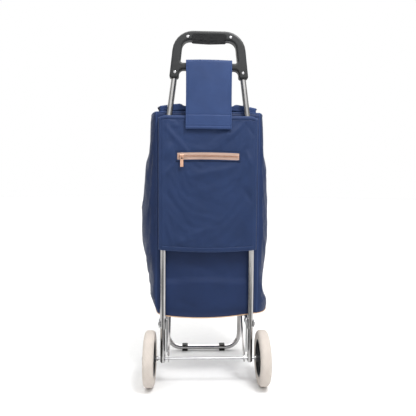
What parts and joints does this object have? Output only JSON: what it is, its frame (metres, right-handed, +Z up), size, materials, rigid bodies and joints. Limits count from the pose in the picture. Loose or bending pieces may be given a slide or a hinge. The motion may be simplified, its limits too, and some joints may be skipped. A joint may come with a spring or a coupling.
{
  "type": "shopping trolley",
  "caption": "Upright shopping trolley: tall fabric bag on a bent steel-tube frame with a D-shaped handle, foam-tyred wheels and a folding foot loop.",
  "frame": {"origin": "on the floor, at the middle of the bounding box's width and depth", "axes": "+Z up; +X to the right as seen from the user's side; -Y towards the user, the side with the sleeve, zip and strap; +Y is the bag side"},
  "size_m": [0.3476, 0.334, 0.9395],
  "materials": {
    "tube_steel": "bright plated steel tube",
    "stay_steel": "zinc plated rod",
    "bracket_steel": "zinc plated pressing",
    "fixing_steel": "zinc plated",
    "handle_plastic": "charcoal, finely grained",
    "grip_rubber": "soft, ribbed",
    "hub_plastic": "black, moulded",
    "tyre_foam": "cream foam with a fine diamond tread",
    "foot_rubber": "black",
    "bag_fabric": "navy coated woven polyester",
    "strap_fabric": "navy coated woven polyester, stitched",
    "piping": "tan edge piping",
    "hook_and_loop": "dark blue pile",
    "zip_tape": "copper coloured tape",
    "zip_metal": "copper coloured"
  },
  "bodies": {
    "frame": {"main_tube_left": "tube_steel", "main_tube_right": "tube_steel", "leg_left": "tube_steel", "leg_right": "tube_steel", "inner_plate_left": "bracket_steel", "inner_plate_right": "bracket_steel", "outer_plate_left": "bracket_steel", "outer_plate_right": "bracket_steel", "leg_rivet_left": "fixing_steel", "leg_rivet_right": "fixing_steel", "pivot_pin_left": "fixing_steel", "pivot_pin_right": "fixing_steel", "axle": "fixing_steel", "axle_collar_left": "fixing_steel", "axle_collar_right": "fixing_steel", "handle_screw_1": "fixing_steel", "handle_screw_2": "fixing_steel", "handle_screw_3": "fixing_steel", "handle_screw_4": "fixing_steel", "handle_back": "handle_plastic", "handle_front": "handle_plastic", "grip_insert": "grip_rubber", "axle_cap_left": "hub_plastic", "axle_cap_right": "hub_plastic", "bag_back": "bag_fabric", "bag_front": "bag_fabric", "bag_side_left": "bag_fabric", "bag_side_right": "bag_fabric", "bag_bottom": "bag_fabric", "back_sleeve": "bag_fabric", "strap_tail": "strap_fabric", "bag_piping": "piping", "sleeve_patch": "hook_and_loop", "front_patch": "hook_and_loop", "zip_tape": "zip_tape", "zip_coil": "zip_metal", "zip_stop_left": "zip_metal", "zip_stop_right": "zip_metal"},
    "wheel_left": {"tyre_left": "tyre_foam", "hub_left": "hub_plastic"},
    "wheel_right": {"tyre_right": "tyre_foam", "hub_right": "hub_plastic"},
    "foot": {"foot_loop": "tube_steel", "strut_left": "stay_steel", "strut_right": "stay_steel", "foot_clip_left": "foot_rubber", "foot_clip_right": "foot_rubber"},
    "lid": {"bag_lid": "bag_fabric", "lid_patch": "hook_and_loop"},
    "strap": {"strap_flap": "strap_fabric", "strap_patch": "hook_and_loop"},
    "zip_slider": {"zip_slider": "zip_metal"},
    "zip_pull": {"zip_pull": "zip_metal"}
  },
  "joints": [
    {"name": "wheel_left_spin", "type": "hinge", "parent": "frame", "child": "wheel_left", "pos_m": [-0.153, -0.093, 0.074], "axis": [1, 0, 0], "continuous": true},
    {"name": "wheel_right_spin", "type": "hinge", "parent": "frame", "child": "wheel_right", "pos_m": [0.153, -0.093, 0.074], "axis": [1, 0, 0], "continuous": true},
    {"name": "foot_fold", "type": "hinge", "parent": "frame", "child": "foot", "pos_m": [0, -0.063, 0.1695], "axis": [1, 0, 0], "range_deg": [0, 90], "deforming": ["bag_side_left", "bag_side_right", "bag_front", "bag_bottom", "front_patch", "bag_piping", "bag_lid", "lid_patch"]},
    {"name": "lid_open", "type": "hinge", "parent": "frame", "child": "lid", "pos_m": [0, -0.075, 0.753], "axis": [1, 0, 0], "range_deg": [0, 85]},
    {"name": "strap_open", "type": "hinge", "parent": "frame", "child": "strap", "pos_m": [0, -0.1095, 0.8547], "axis": [-1, 0, 0], "range_deg": [0, 150]},
    {"name": "zip_slide", "type": "slide", "parent": "frame", "child": "zip_slider", "axis": [1, 0, 0], "range_m": [0, 0.135]},
    {"name": "zip_pull_swing", "type": "hinge", "parent": "zip_slider", "child": "zip_pull", "pos_m": [-0.069, -0.1125, 0.6167], "axis": [-1, 0, 0], "range_deg": [0, 150]}
  ]
}
